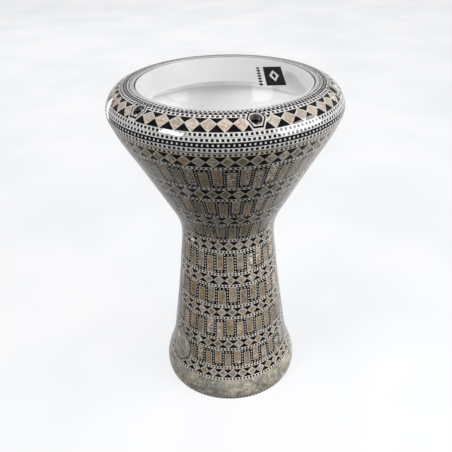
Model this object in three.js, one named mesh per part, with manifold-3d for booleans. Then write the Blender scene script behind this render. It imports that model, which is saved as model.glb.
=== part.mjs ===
// A goblet drum (darbuka): an inlaid cast-metal shell with an open foot, a clear
// film head drawn over its bearing edge, and a rounded collar held by six bolts.
// Millimetres, +Z up, origin at the centre of the foot, standing on z = 0.
import * as THREE from "three";
import { mergeVertices } from "three/addons/utils/BufferGeometryUtils.js";
import Module from "manifold-3d";

const wasm = await Module();
wasm.setup();

// ---- Driving dimensions -------------------------------------------------

const ROUND = 32;            // facets round every large ring
const SMALL_ROUND = 12;      // facets round a bolt or a bolt hole
const GAP = 0.3;             // clearance between neighbouring pieces
const INLAY = 1.2;           // thickness of the inlay veneer
const WALL = 5;              // thickness of the cast shell behind the inlay

// Outline of the inlaid shell, foot to rim: [radius, height].
const SHELL_OUTLINE = [
  [97.2, 0], [98.9, 13], [93.2, 33.5], [86.1, 56], [79.3, 101], [71.9, 158], [66.2, 212],
  [64.3, 240], [68.2, 262], [78.5, 284], [97.9, 320], [115.7, 353], [135.9, 389], [145.2, 410.6],
];

// Heights of the edges between inlay courses, from the foot up to the rim.
const COURSE_EDGES = [
  0.5, 5.2, 33, 54, 80.2, 102.3, 131.7, 154.3, 181.9,
  204, 233.8, 257, 284, 305.5, 333, 356.8, 387.2, 410.4,
];
const CHORD_ERROR = 0.4;     // a course flatter than this is one chord

const FOOT_CHAMFER = 0.4;
const FLANGE_TOP = 410.6;    // under the collar
const FLANGE_THICKNESS = 10;
const FLANGE_FLAT = 6.8;     // level underside to either side of the bolt circle
const WEB = { reach: 4.5, rise: 9.4 }; // gusset from the flange up to the bearing ring

// The bearing ring: a cylinder outside, leaning in to a beaded lip inside.
const BEARING_RADIUS = 108.4;
const BEARING_TOP = 444.6;
const BEARING_ROUND = 1.2;   // height of its rounded top edges
const BEARING_CREST = 2.6;   // width of its top
const LIP = { radius: 101.5, low: 411.5, high: 416, bead: 0.8 };

const FILM = 0.4;
const HOOP_LOW = 424;
const HOOP_HIGH = 430;
const HOOP_WIDTH = 3.6;

// Outline of the collar: a flat crown, then a quarter and a bit of a superellipse.
const COLLAR_CENTRE = { r: 117, z: 417 };
const COLLAR_REACH = 29.5;
const COLLAR_RISE = 28.2;
const COLLAR_SQUARENESS = 1.9;
const COLLAR_BOTTOM = 411.8;
const COLLAR_CROWN_EDGE = 112.5;
const COLLAR_WALL = 4.5;
const COLLAR_CLEARANCE = 0.7; // round the film, so that the collar slides
const COLLAR_COURSE_RADII = [128, 141.2];

const BOLTS = 6;
const BOLT_CIRCLE = 130.4;
const FIRST_BOLT = 14;       // degrees round from the front, towards +X
const BOLT = { shank: 2.9, head: 5, headHeight: 6, length: 30, chamfer: 0.5, socket: 2.9, socketDepth: 3 };
const COUNTERBORE = 6.8;
const BOLT_SEAT = 430;
const BOSS = 9;
const BOSS_BOTTOM = 413;
const BEZEL_CORNER = 10.7;
const INSERT = 4.5;

const MEDALLION = { azimuth: -60, width: 50, low: 36.5, high: 94 };

// ---- Materials ----------------------------------------------------------

const finish = (color, roughness, metalness, extra = {}) =>
  new THREE.MeshStandardMaterial({ color, roughness, metalness, ...extra });

const castMetal = () => finish(0xc4c2bc, 0.45, 1);
const boltSteel = () => finish(0x4a4b50, 0.35, 1);
const insertSteel = () => finish(0x9a9a98, 0.4, 1);
const hoopMetal = () => finish(0xb8b8b6, 0.4, 1);
const clearFilm = () => finish(0xe6ebe8, 0.12, 0, { transparent: true, opacity: 0.3 });
const shellInlay = () => finish(0xb3a798, 0.2, 0);
const meanderInlay = () => finish(0x8c8378, 0.2, 0);
const collarInlay = () => finish(0xd8cfc6, 0.15, 0);
const pearl = () => finish(0xa9a592, 0.2, 0);
const bezelInlay = () => finish(0xeeece6, 0.18, 0);

// ---- Solids -------------------------------------------------------------

const point = (r, z) => new THREE.Vector2(r, z);

// Merged vertices, positions only: one closed surface.
function closed(geometry) {
  const bare = geometry.clone();
  bare.deleteAttribute("normal");
  bare.deleteAttribute("uv");
  return mergeVertices(bare, 1e-4);
}

function toSolid(geometry) {
  const merged = closed(geometry);
  return new wasm.Manifold(new wasm.Mesh({
    numProp: 3,
    vertProperties: new Float32Array(merged.attributes.position.array),
    triVerts: new Uint32Array(merged.index.array),
  }));
}

function toGeometry(solid) {
  const { vertProperties, triVerts } = solid.getMesh();
  const geometry = new THREE.BufferGeometry();
  geometry.setAttribute("position", new THREE.BufferAttribute(vertProperties, 3));
  geometry.setIndex(new THREE.BufferAttribute(triVerts, 1));
  return geometry;
}

// A ring with the given section: an outline in radius and height, anticlockwise.
function turned(section, segments = ROUND) {
  const onAxis = section[0].x === 0 && section.at(-1).x === 0;
  const outline = onAxis ? section : [...section, section[0]];
  return new THREE.LatheGeometry(outline, segments).rotateX(Math.PI / 2);
}

// Outline moved sideways by a distance, towards its left-hand side, with mitred corners.
function offset(outline, distance) {
  return outline.map((here, index) => {
    const before = outline[Math.max(index - 1, 0)];
    const after = outline[Math.min(index + 1, outline.length - 1)];
    const arriving = here.clone().sub(before).normalize();
    const leaving = after.clone().sub(here).normalize();
    const into = index ? arriving : leaving;
    const out = index < outline.length - 1 ? leaving : arriving;
    const normal = point(-into.y - out.y, into.x + out.x).normalize();
    const mitre = distance / (normal.x * -into.y + normal.y * into.x);
    return here.clone().addScaledVector(normal, mitre);
  });
}

// One outline from stretches that share their ends.
const joined = (stretches) => stretches.flatMap((stretch, index) => (index ? stretch.slice(1) : stretch));

// A path drawn back at both ends by half a gap.
function drawnBack(path) {
  const shortened = path.map((p) => p.clone());
  const first = path[1].clone().sub(path[0]).normalize();
  const last = path.at(-2).clone().sub(path.at(-1)).normalize();
  shortened[0].addScaledVector(first, GAP / 2);
  shortened.at(-1).addScaledVector(last, GAP / 2);
  return shortened;
}

// Veneer rings over the stretches of one outline, each from the outer face inwards by
// INLAY. Neighbours meet on the mitre line of the bend between them, less the gap.
function veneers(stretches) {
  const outer = joined(stretches);
  const inner = offset(outer, INLAY);
  let start = 0;
  return stretches.map((stretch) => {
    const end = start + stretch.length;
    const ring = turned([...drawnBack(outer.slice(start, end)), ...drawnBack(inner.slice(start, end)).reverse()]);
    start = end - 1;
    return ring;
  });
}

// An upright round bar, or a tube when it has a bore.
function upright(radius, low, high, bore = 0) {
  return turned([point(bore, low), point(radius, low), point(radius, high), point(bore, high)], SMALL_ROUND);
}

// An upright prism, centred on the axis, with two of its corners on the X axis.
function hexagon(corner, low, high) {
  const shape = new THREE.Shape(Array.from({ length: 6 }, (_, k) =>
    point(corner * Math.cos(k * Math.PI / 3), corner * Math.sin(k * Math.PI / 3))));
  return new THREE.ExtrudeGeometry(shape, { depth: high - low, bevelEnabled: false }).translate(0, 0, low);
}

const azimuthOfBolt = (k) => THREE.MathUtils.degToRad(FIRST_BOLT + k * 360 / BOLTS);

// Moves geometry made round the origin out to bolt k's axis, keeping its X axis tangential.
function atBolt(geometry, k) {
  return geometry.translate(0, -BOLT_CIRCLE, 0).rotateZ(azimuthOfBolt(k));
}

const atEveryBolt = (make) => Array.from({ length: BOLTS }, (_, k) => toSolid(atBolt(make(), k)));
const without = (solid, cutters) => cutters.reduce((left, cutter) => left.subtract(cutter), solid);

// ---- Shell outline and its courses --------------------------------------

const shellCurve = new THREE.SplineCurve(SHELL_OUTLINE.map(([r, z]) => point(r, z)));

// Point of the shell's outline at a height: the curve rises all the way.
function shellAt(z) {
  let low = 0;
  let high = 1;
  for (let step = 0; step < 40; step += 1) {
    const middle = (low + high) / 2;
    if (shellCurve.getPoint(middle).y < z) low = middle;
    else high = middle;
  }
  return shellCurve.getPoint(low);
}

// Outline points of the course between two heights, foot side first.
function courseOutline(low, high) {
  const ends = [shellAt(low), shellAt(high)];
  const middle = shellAt((low + high) / 2);
  const sag = Math.abs(middle.x - (ends[0].x + ends[1].x) / 2);
  return sag > CHORD_ERROR ? [ends[0], middle, ends[1]] : ends;
}

const courses = COURSE_EDGES.slice(1).map((high, index) => courseOutline(COURSE_EDGES[index], high));
const inlaidOutline = joined(courses);

// Courses are numbered from the rim down, diamonds and meanders in turn.
function courseName(index) {
  if (index === 0) return "foot_stringing";
  if (index === 1) return "foot_pearl_band";
  const place = courses.length - 1 - index;
  const kind = place % 2 ? "meander" : "diamond";
  return `${kind}_course_${Math.floor(place / 2) + 1}`;
}

// A drop standing on its round end: half a circle below, drawn in to a point above.
function dropShape(growth) {
  const half = MEDALLION.width / 2 + growth;
  const centre = MEDALLION.low + MEDALLION.width / 2;
  const tip = MEDALLION.high + growth;
  const shape = new THREE.Shape();
  shape.moveTo(0, tip);
  shape.bezierCurveTo(-half * 0.35, tip - half * 0.3, -half, centre + half * 0.55, -half, centre);
  shape.absarc(0, centre, half, Math.PI, 2 * Math.PI, false);
  shape.bezierCurveTo(half, centre + half * 0.55, half * 0.35, tip - half * 0.3, 0, tip);
  return shape;
}

// The drop as a bar running out from the drum's axis at the medallion's azimuth.
function dropBar(growth) {
  const size = { depth: 120, bevelEnabled: false, curveSegments: 5 };
  return toSolid(new THREE.ExtrudeGeometry(dropShape(growth), size)
    .rotateX(Math.PI / 2)
    .rotateZ(THREE.MathUtils.degToRad(MEDALLION.azimuth)));
}

// Courses behind the medallion are cut away round it.
function courseGeometry(ring, course) {
  if (course.at(-1).y < MEDALLION.low || course[0].y > MEDALLION.high) return ring;
  return toGeometry(toSolid(ring).subtract(dropBar(GAP)));
}

function medallionGeometry() {
  const spare = 15;
  const behind = inlaidOutline.filter((p) => p.y > MEDALLION.low - spare && p.y < MEDALLION.high + spare);
  return toGeometry(toSolid(veneers([behind])[0]).intersect(dropBar(0)));
}

// ---- Shell body ---------------------------------------------------------

// Inner wall of the shell from under the flange down to the foot, with every second point
// of the outer wall.
function innerWall(underside) {
  const clear = 8;
  return offset(inlaidOutline, INLAY + GAP + WALL)
    .filter((p) => p.y > clear && p.y < underside - clear)
    .reverse()
    .filter((_, index) => index % 2 === 0);
}

function shellCasting() {
  const outside = offset(inlaidOutline, INLAY + GAP);
  const rim = outside.at(-1);
  const underside = FLANGE_TOP - FLANGE_THICKNESS;
  const inside = innerWall(underside);
  const shoulder = rim.x - 1.7 * WALL;
  const section = [
    point(inside.at(-1).x, 0),
    point(outside[0].x - FOOT_CHAMFER, 0),
    ...outside,
    point(rim.x, FLANGE_TOP),
    point(BEARING_RADIUS + WEB.reach, FLANGE_TOP),
    point(BEARING_RADIUS, FLANGE_TOP + WEB.rise),
    point(BEARING_RADIUS, BEARING_TOP - BEARING_ROUND),
    point(BEARING_RADIUS - BEARING_ROUND, BEARING_TOP),
    point(BEARING_RADIUS - BEARING_CREST, BEARING_TOP - BEARING_ROUND),
    point(LIP.radius + LIP.bead, LIP.high),
    point(LIP.radius, (LIP.low + LIP.high) / 2),
    point(LIP.radius + LIP.bead, LIP.low),
    point(BOLT_CIRCLE - FLANGE_FLAT, underside),
    point(shoulder, underside),
    ...inside,
  ];
  const insertHoles = atEveryBolt(() => upright(INSERT + GAP, underside - 1, FLANGE_TOP + 1));
  return toGeometry(without(toSolid(turned(section)), insertHoles));
}

function insertGeometry(k) {
  const low = FLANGE_TOP - FLANGE_THICKNESS + GAP;
  return atBolt(upright(INSERT, low, FLANGE_TOP - GAP, BOLT.shank + GAP), k);
}

const skirtInside = BEARING_RADIUS + GAP;
const skirtOutside = skirtInside + FILM;

// The film lies on the bearing edge, turns down outside it and ends in a lip under the hoop.
function drumHead() {
  const top = BEARING_TOP + GAP + FILM;
  const lip = HOOP_LOW - GAP;
  return turned([
    point(0, top - FILM),
    point(skirtInside, top - FILM),
    point(skirtInside, lip - FILM),
    point(skirtOutside + HOOP_WIDTH, lip - FILM),
    point(skirtOutside + HOOP_WIDTH, lip),
    point(skirtOutside, lip),
    point(skirtOutside, top),
    point(0, top),
  ]);
}

const hoopInside = skirtOutside + GAP;
const headHoop = () => turned([
  point(hoopInside, HOOP_LOW), point(hoopInside + HOOP_WIDTH, HOOP_LOW),
  point(hoopInside + HOOP_WIDTH, HOOP_HIGH), point(hoopInside, HOOP_HIGH),
]);

// ---- Collar body --------------------------------------------------------

const crownTop = COLLAR_CENTRE.z + COLLAR_RISE;

// Point of the collar's outline at a radius outside the crown, on its upper side.
function collarAtRadius(r) {
  const across = ((r - COLLAR_CENTRE.r) / COLLAR_REACH) ** COLLAR_SQUARENESS;
  return point(r, COLLAR_CENTRE.z + COLLAR_RISE * (1 - across) ** (1 / COLLAR_SQUARENESS));
}

// The same outline by height, for the steep outer side.
function collarAtHeight(z) {
  const up = (Math.abs(z - COLLAR_CENTRE.z) / COLLAR_RISE) ** COLLAR_SQUARENESS;
  return point(COLLAR_CENTRE.r + COLLAR_REACH * (1 - up) ** (1 / COLLAR_SQUARENESS), z);
}

const [diamondInner, diamondOuter] = COLLAR_COURSE_RADII;
const flankHeights = [COLLAR_BOTTOM, COLLAR_CENTRE.z, 425];
const collarCourses = {
  collar_outer_stringing: [...flankHeights.map(collarAtHeight), collarAtRadius(diamondOuter)],
  collar_diamond_course: [diamondOuter, 135, diamondInner].map(collarAtRadius),
  collar_inner_stringing: [...[diamondInner, 121].map(collarAtRadius), point(COLLAR_CROWN_EDGE, crownTop)],
};
const collarOutline = joined(Object.values(collarCourses));

// A cast channel, open underneath, with a solid boss left round each bolt.
function collarRing() {
  const outside = offset(collarOutline, INLAY + GAP);
  const bore = skirtOutside + COLLAR_CLEARANCE;
  const skirt = hoopInside + HOOP_WIDTH + GAP;
  const underside = outside[0].y;
  const block = toSolid(turned([
    ...outside.slice(0, -1),
    point(COLLAR_CROWN_EDGE, outside.at(-1).y),
    point(COLLAR_CROWN_EDGE, crownTop),
    point(bore, crownTop),
    point(bore, HOOP_HIGH + GAP),
    point(skirt, HOOP_HIGH + GAP),
    point(skirt, underside),
  ]));
  const inner = skirt + COLLAR_WALL;
  const corner = 3;
  const roof = offset(collarOutline, INLAY + GAP + COLLAR_WALL).filter((p) => p.x > inner + corner);
  const channel = toSolid(turned([
    point(inner, underside - 1),
    point(roof[0].x, underside - 1),
    ...roof,
    point(inner, roof.at(-1).y),
  ]));
  const bosses = atEveryBolt(() => upright(BOSS, BOSS_BOTTOM, crownTop));
  const counterbores = atEveryBolt(() => upright(COUNTERBORE, BOLT_SEAT, crownTop + 1));
  const clearances = atEveryBolt(() => upright(BOLT.shank + GAP, BOSS_BOTTOM - 1, crownTop + 1));
  return toGeometry(without(block, [without(channel, bosses), ...counterbores, ...clearances]));
}

const bezelCuts = atEveryBolt(() => hexagon(BEZEL_CORNER + GAP, COLLAR_CENTRE.z, crownTop + 1));

// A six-sided frame of veneer lying on the collar round one bolt's recess.
function bezelGeometry(k) {
  const layer = toSolid(veneers([collarOutline])[0]);
  const frame = toSolid(atBolt(hexagon(BEZEL_CORNER, COLLAR_CENTRE.z, crownTop + 1), k));
  const recess = toSolid(atBolt(upright(COUNTERBORE, COLLAR_CENTRE.z, crownTop + 1), k));
  return toGeometry(layer.intersect(frame).subtract(recess));
}

// Socket-head bolt, its head standing on the collar's seat.
function boltGeometry(k) {
  const seat = BOLT_SEAT + GAP;
  const top = seat + BOLT.headHeight;
  const body = toSolid(turned([
    point(0, seat - BOLT.length),
    point(BOLT.shank - BOLT.chamfer, seat - BOLT.length),
    point(BOLT.shank, seat - BOLT.length + BOLT.chamfer),
    point(BOLT.shank, seat),
    point(BOLT.head, seat),
    point(BOLT.head, top - BOLT.chamfer),
    point(BOLT.head - BOLT.chamfer, top),
    point(0, top),
  ], SMALL_ROUND));
  const socket = toSolid(hexagon(BOLT.socket, top - BOLT.socketDepth, top + 1));
  return atBolt(toGeometry(body.subtract(socket)), k);
}

// ---- Assembly -----------------------------------------------------------

const darbuka = new THREE.Group();

function place(name, geometry, material) {
  const mesh = new THREE.Mesh(geometry, material);
  mesh.name = name;
  darbuka.add(mesh);
}

place("shell_casting", shellCasting(), castMetal());
place("drum_head", drumHead(), clearFilm());
place("head_hoop", headHoop(), hoopMetal());
place("collar_ring", collarRing(), castMetal());

function courseMaterial(name) {
  if (name === "foot_pearl_band") return pearl();
  return name.startsWith("meander") ? meanderInlay() : shellInlay();
}

veneers(courses).forEach((ring, index) => {
  const name = courseName(index);
  place(name, courseGeometry(ring, courses[index]), courseMaterial(name));
});

place("medallion", medallionGeometry(), pearl());

veneers(Object.values(collarCourses)).forEach((ring, index) => {
  place(Object.keys(collarCourses)[index], toGeometry(without(toSolid(ring), bezelCuts)), collarInlay());
});

for (let k = 0; k < BOLTS; k += 1) {
  place(`bolt_bezel_${k + 1}`, bezelGeometry(k), bezelInlay());
  place(`tuning_bolt_${k + 1}`, boltGeometry(k), boltSteel());
  place(`threaded_insert_${k + 1}`, insertGeometry(k), insertSteel());
}

export default darbuka;
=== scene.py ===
import math
import random

import bmesh
import bpy
import numpy as np
from mathutils import Matrix, Vector
from mathutils.geometry import delaunay_2d_cdt


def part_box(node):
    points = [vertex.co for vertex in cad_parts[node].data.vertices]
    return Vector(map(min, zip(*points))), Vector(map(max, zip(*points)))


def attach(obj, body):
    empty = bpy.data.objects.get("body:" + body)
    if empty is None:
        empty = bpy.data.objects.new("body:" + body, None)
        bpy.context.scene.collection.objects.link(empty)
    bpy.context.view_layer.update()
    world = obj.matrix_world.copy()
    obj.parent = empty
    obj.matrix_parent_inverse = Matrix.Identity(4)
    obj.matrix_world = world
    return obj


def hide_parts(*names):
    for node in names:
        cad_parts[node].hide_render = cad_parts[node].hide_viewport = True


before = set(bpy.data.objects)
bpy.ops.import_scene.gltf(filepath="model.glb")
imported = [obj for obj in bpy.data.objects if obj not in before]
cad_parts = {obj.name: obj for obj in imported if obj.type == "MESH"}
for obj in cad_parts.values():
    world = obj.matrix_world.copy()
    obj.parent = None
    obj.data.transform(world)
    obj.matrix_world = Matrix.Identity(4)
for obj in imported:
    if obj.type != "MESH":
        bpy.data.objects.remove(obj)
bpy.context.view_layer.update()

MM = 0.001
rng = random.Random(7)

# ---- Sizes of the inlay work --------------------------------------------

INLAY = 1.2 * MM             # thickness of the veneer
STRIP = 4.5 * MM             # height of a dotted strip on the shell
DOT_PITCH = 4.7 * MM
BOWL_DOT_PITCH = 5.4 * MM
DOT = 2.8 * MM
BAR_STRIP = 4.8 * MM         # width of a meander's black strip
BAR_DOT = 1.7 * MM
BAR_DOT_PITCH = 4.5 * MM
BAR_BORDER = 0.9 * MM        # resin left round a pearl bar
DIAMOND_BORDER = 1.6 * MM    # and round a pearl diamond
TIP_GAP = 0.2 * MM           # from a black triangle's tip to the middle of its course
BASE_GAP = 0.5 * MM          # and from its base to halfway to the next one
HAIRLINE = 0.35 * MM
STEP = 3.5 * MM              # longest edge of the laid surface
UNEVEN = 0.16 * MM           # how far a hand-cut corner strays
SPARE = 1 * MM               # room round a piece that is laid on its own
CLOSE = 1e-6                 # nearer than this is the same place
SAMPLES = 4000               # points on a curve for looking up a place along it

# Tiles round the drum in each course from the rim down, and where one of them falls:
# the azimuth of a black triangle, or of the strip on the left of a bar under a bridge.
DIAMOND_ROWS = [(56, 3.8), (46, 2.9), (34, 5.8), (30, 6.6), (28, 7.9), (32, 8.4), (34, 3.1), (40, 6.1)]
MEANDER_ROWS = [(52, -1.1), (42, -7.1), (30, -1.5), (30, -4.2), (30, -14.3), (34, -15.8), (38, -7.6)]
COLLAR_DIAMONDS = (49, 3.5)
COLLAR_STRIPS_OUTSIDE = 4
COLLAR_STRIPS_INSIDE = 3
COLLAR_DOT_PITCH = 5.5 * MM
COLLAR_INNER_PITCH = 5.2 * MM
COLLAR_DOT = 3.1 * MM
COLLAR_PALE_DOT = 2 * MM
COLLAR_BORDER = 0.8 * MM
FOOT_DOT_PITCH = 4.9 * MM
FOOT_DOT = 3 * MM
MEDALLION_EDGE = 0.5 * MM    # resin outside the medallion's black line
MEDALLION_LINE = 1.7 * MM

# Bolts and bezels. The recess, boss, hole, head, shank and socket are given as radii.
BOLTS = 6
BEZEL_LINE = 1.8 * MM
BEZEL_MARGIN = 1.8 * MM      # pale resin round a bezel
RECESS = 6.8 * MM
BOSS = 9 * MM
BOLT_HOLE = 3.3 * MM
BOLT_HEAD = 5 * MM
BOLT_HEAD_HEIGHT = 6 * MM
BOLT_SHANK = 2.9 * MM
SOCKET = 2.9 * MM
SOCKET_DEPTH = 3 * MM
ORNAMENT_AT = (61 * MM, 11 * MM)
ROUND = 192                  # facets round a turned piece

CAMERA_AT = (0.0, -0.6875, 0.6478)
CAMERA_DOWN = 0.53783        # radians below the horizon
CAMERA_TURN = -0.00371
CAMERA_ROLL = -0.02427
CAMERA_LENS = 45.48          # millimetres, on a frame of the width below
CAMERA_FRAME = 36


# ---- Reading the frame --------------------------------------------------

def section(node):
    """The outline of a turned CAD node, in radius and height, read off its mesh where it crosses
    the plane in front of the axis. Flat rings have no edge there, so their ends are joined up."""
    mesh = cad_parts[node].data
    links = {}
    for edge in mesh.edges:
        ends = [mesh.vertices[i].co for i in edge.vertices]
        if any(abs(co.x) > 1e-5 or co.y > 1e-5 for co in ends):
            continue
        here, there = [(round(-co.y, 5), round(co.z, 5)) for co in ends]
        if here != there:
            links.setdefault(here, set()).add(there)
            links.setdefault(there, set()).add(here)
    loose = [p for p in links if len(links[p]) == 1 and p[0] > 0]
    for p in loose:
        level = [q for q in loose if q != p and abs(q[1] - p[1]) < 2e-5 and q not in links[p]]
        if level and len(links[p]) == 1:
            other = min(level, key=lambda q: abs(q[0] - p[0]))
            links[p].add(other)
            links[other].add(p)
    ends = [p for p in links if len(links[p]) == 1]
    start = min(ends or links, key=lambda p: p[1])
    path = [start]
    while True:
        onward = [p for p in links[path[-1]] if p not in path]
        if not onward:
            return np.array(path)
        path.append(min(onward, key=lambda p: (p[1], -p[0])) if len(path) == 1 else onward[0])


def outer_chain(node):
    """The outer side of a veneer ring's section, foot side first. The section's two short ends,
    as thick as the veneer, part its outer side from its inner one."""
    loop = section(node)
    half = len(loop) // 2
    turns = [np.roll(loop, -k, axis=0) for k in range(len(loop))]
    ends = [math.dist(path[-1], path[0]) + math.dist(path[half - 1], path[half]) for path in turns]
    least = min(ends) + 1e-4
    sides = (path[:half] for path, end in zip(turns, ends) if end < least)
    chain = max(sides, key=lambda side: side.sum())
    return chain if chain[0, 1] <= chain[-1, 1] else chain[::-1]


class Outline:
    """A smooth curve in radius and height through knots, measured by distance along it."""

    def __init__(self, knots):
        self.knots = np.array(knots)
        steps = np.hypot(*np.diff(self.knots, axis=0).T)
        self.marks = np.concatenate([[0.0], np.cumsum(steps)])
        count = len(self.knots)
        system = np.eye(count)
        right = np.zeros((count, 2))
        slopes = np.diff(self.knots, axis=0) / steps[:, None]
        for k in range(1, count - 1):
            system[k, k - 1:k + 2] = steps[k - 1], 2 * (steps[k - 1] + steps[k]), steps[k]
            right[k] = 6 * (slopes[k] - slopes[k - 1])
        self.bends = np.linalg.solve(system, right)

    @property
    def length(self):
        return self.marks[-1]

    def at(self, s):
        s = np.clip(np.asarray(s, float), 0, self.length)
        k = np.clip(np.searchsorted(self.marks, s) - 1, 0, len(self.marks) - 2)
        step = (self.marks[k + 1] - self.marks[k])[..., None]
        b = ((s - self.marks[k])[..., None]) / step
        a = 1 - b
        curve = ((a**3 - a) * self.bends[k] + (b**3 - b) * self.bends[k + 1]) * step**2 / 6
        return a * self.knots[k] + b * self.knots[k + 1] + curve

    def normal(self, s):
        nudge = 0.2 * MM
        ahead = self.at(np.asarray(s) + nudge) - self.at(np.asarray(s) - nudge)
        ahead /= np.linalg.norm(ahead, axis=-1, keepdims=True)
        return np.stack([ahead[..., 1], -ahead[..., 0]], -1)

    def mark(self, knot):
        """Distance along the curve of the nearest knot."""
        return self.marks[np.argmin(np.hypot(*(self.knots - knot).T))]

    def at_height(self, z):
        """Distance along the curve at a height, for a curve that climbs all the way."""
        s = np.linspace(0, self.length, SAMPLES)
        return np.interp(z, self.at(s)[:, 1], s)

    def at_radius(self, r):
        """Distance along the curve at a radius, on the stretch where radius falls towards the end."""
        s = np.linspace(0, self.length, SAMPLES)
        radius = self.at(s)[:, 0]
        first = np.argmax(radius)
        return np.interp(-np.asarray(r), -radius[first:], s[first:])


def sideways(node, azimuth):
    """How far every corner of a CAD node lies to the side of the upright plane at an azimuth."""
    along = Vector((math.cos(azimuth), math.sin(azimuth), 0))
    return [vertex.co.dot(along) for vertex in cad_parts[node].data.vertices]


def joined(chains):
    """One run of knots from neighbouring veneer rings, whose facing ends lie a small gap apart."""
    knots = [chains[0][0]]
    for chain, following in zip(chains, chains[1:]):
        knots += list(chain[1:-1])
        knots.append((chain[-1] + following[0]) / 2)
    return knots + list(chains[-1][1:])


def span(outline, chain):
    """Where a ring starts and ends along the joined outline."""
    return outline.mark(chain[0]), outline.mark(chain[-1])


# ---- Materials ----------------------------------------------------------

LACQUER = dict(Roughness=0.4, Specular_IOR_Level=0.0, Coat_Weight=1.0, Coat_Roughness=0.035,
               Coat_IOR=1.42)


def new_material(name, **sockets):
    """A material with its nodes, its shader and the object coordinates that patterns start from."""
    material = bpy.data.materials.new(name)
    material.use_nodes = True
    tree = material.node_tree
    shader = tree.nodes["Principled BSDF"]
    for socket, value in sockets.items():
        shader.inputs[socket.replace("_", " ")].default_value = value
    return material, tree, shader, add(tree, "ShaderNodeTexCoord").outputs["Object"]


def add(tree, kind, links=(), **settings):
    """A node with its settings, its unlinked inputs and its links: (input, output) pairs."""
    node = tree.nodes.new(kind)
    for key, value in settings.items():
        if hasattr(node, key):
            setattr(node, key, value)
        else:
            node.inputs[key.replace("_", " ")].default_value = value
    for socket, output in links:
        tree.links.new(output, node.inputs[socket])
    return node


def grey(value):
    return (value, value, value)


def ramp(tree, factor, stops):
    node = add(tree, "ShaderNodeValToRGB", [("Fac", factor)])
    elements = node.color_ramp.elements
    while len(elements) < len(stops):
        elements.new(0.5)
    for element, (place, colour) in zip(elements, stops):
        element.position = place
        element.color = (*colour, 1)
    node.color_ramp.interpolation = "EASE"
    return node.outputs["Color"]


def mask(tree, factor, off, on):
    """Rises from 0 to 1 as the factor goes from off to on, whichever of the two is greater."""
    return ramp(tree, factor, sorted([(off, grey(0)), (on, grey(1))]))


def mix(tree, factor, a, b, blend="MIX"):
    node = tree.nodes.new("ShaderNodeMix")
    node.data_type = "RGBA"
    node.blend_type = blend
    for socket, value in ((0, factor), (6, a), (7, b)):
        if isinstance(value, bpy.types.NodeSocket):
            tree.links.new(value, node.inputs[socket])
        elif socket:
            node.inputs[socket].default_value = (*value, 1)
        else:
            node.inputs[socket].default_value = value
    return node.outputs[2]


def noise(tree, vector, scale, detail=4, distortion=0.0):
    node = add(tree, "ShaderNodeTexNoise", [("Vector", vector)], Scale=scale, Detail=detail,
               Roughness=0.55, Distortion=distortion)
    return node.outputs["Fac"]


def mottle(tree, vector, scale, detail, low, high, start=0.3, end=0.7, distortion=0.0):
    """A colour that wanders between two over noise."""
    return ramp(tree, noise(tree, vector, scale, detail, distortion), [(start, low), (end, high)])


def times(tree, a, b):
    """One value times another, or times a number."""
    node = add(tree, "ShaderNodeMath", [(0, a)], operation="MULTIPLY")
    if isinstance(b, bpy.types.NodeSocket):
        tree.links.new(b, node.inputs[1])
    else:
        node.inputs[1].default_value = b
    return node.outputs[0]


def uneven_gloss(tree, shader, height, low, high):
    """Roughness that wanders between two values."""
    rough = add(tree, "ShaderNodeMapRange", [("Value", height)], To_Min=low, To_Max=high)
    tree.links.new(rough.outputs["Result"], shader.inputs["Roughness"])


def bump(tree, shader, height, strength, distance, coat=False):
    node = add(tree, "ShaderNodeBump", [("Height", height)], Strength=strength, Distance=distance)
    tree.links.new(node.outputs["Normal"], shader.inputs["Normal"])
    if coat:
        tree.links.new(node.outputs["Normal"], shader.inputs["Coat Normal"])


def lacquered(tree, shader, place, colour):
    """A colour under lacquer that has not settled quite flat."""
    tree.links.new(colour, shader.inputs["Base Color"])
    bump(tree, shader, noise(tree, place, 60, 2), 0.25, 0.00025, coat=True)


def tile_coordinates(tree, place):
    """Coordinates thrown apart from tile to tile, and the tile's own random colour."""
    tint = add(tree, "ShaderNodeAttribute", attribute_name="tile").outputs["Color"]
    apart = add(tree, "ShaderNodeVectorMath", [(0, tint), (2, place)], operation="MULTIPLY_ADD")
    apart.inputs[1].default_value = (3.7, 5.3, 4.1)
    return apart.outputs[0], tint


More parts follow.
